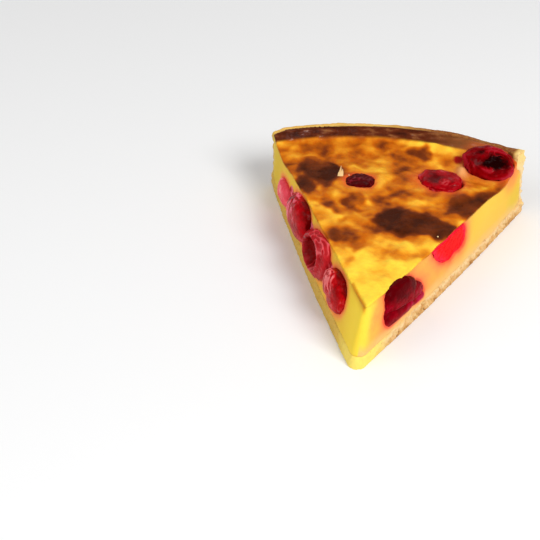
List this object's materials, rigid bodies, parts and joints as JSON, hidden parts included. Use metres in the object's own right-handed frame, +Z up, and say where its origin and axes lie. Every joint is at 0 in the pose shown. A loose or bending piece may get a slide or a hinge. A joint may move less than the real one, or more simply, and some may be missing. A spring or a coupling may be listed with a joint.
{
  "type": "slice of cherry flan",
  "caption": "Wedge-shaped slice of a baked cherry flan: shortcrust shell with a thin upright rim, set custard with a browned top, and cherries set in the top and the cut faces.",
  "frame": {"origin": "centre of the slice's box in plan, at the height of the surface that its base rests on", "axes": "+Z up out of the custard's top; +Y from the tip of the slice to the crust's rim; +X to the right seen from the tip"},
  "size_m": [0.1098, 0.1273, 0.0308],
  "materials": {
    "pastry": "dry baked shortcrust, pale gold and crumbly",
    "custard": "set custard, smooth yellow where cut, orange to brown and slightly glossy on top",
    "cherry": "wet dark red cooked cherry skin",
    "cherry_flesh": "wet bright red cut cherry flesh"
  },
  "bodies": {
    "root": {"pastry_shell": "pastry", "custard": "custard", "cherry_top_large": "cherry", "cherry_top_middle": "cherry", "cherry_top_small": "cherry", "cherry_left_rim": "cherry_flesh", "cherry_left_upper": "cherry", "cherry_left_halved": "cherry", "cherry_left_tip": "cherry", "cherry_right_cut": "cherry_flesh", "cherry_right_folded": "cherry"}
  },
  "joints": []
}
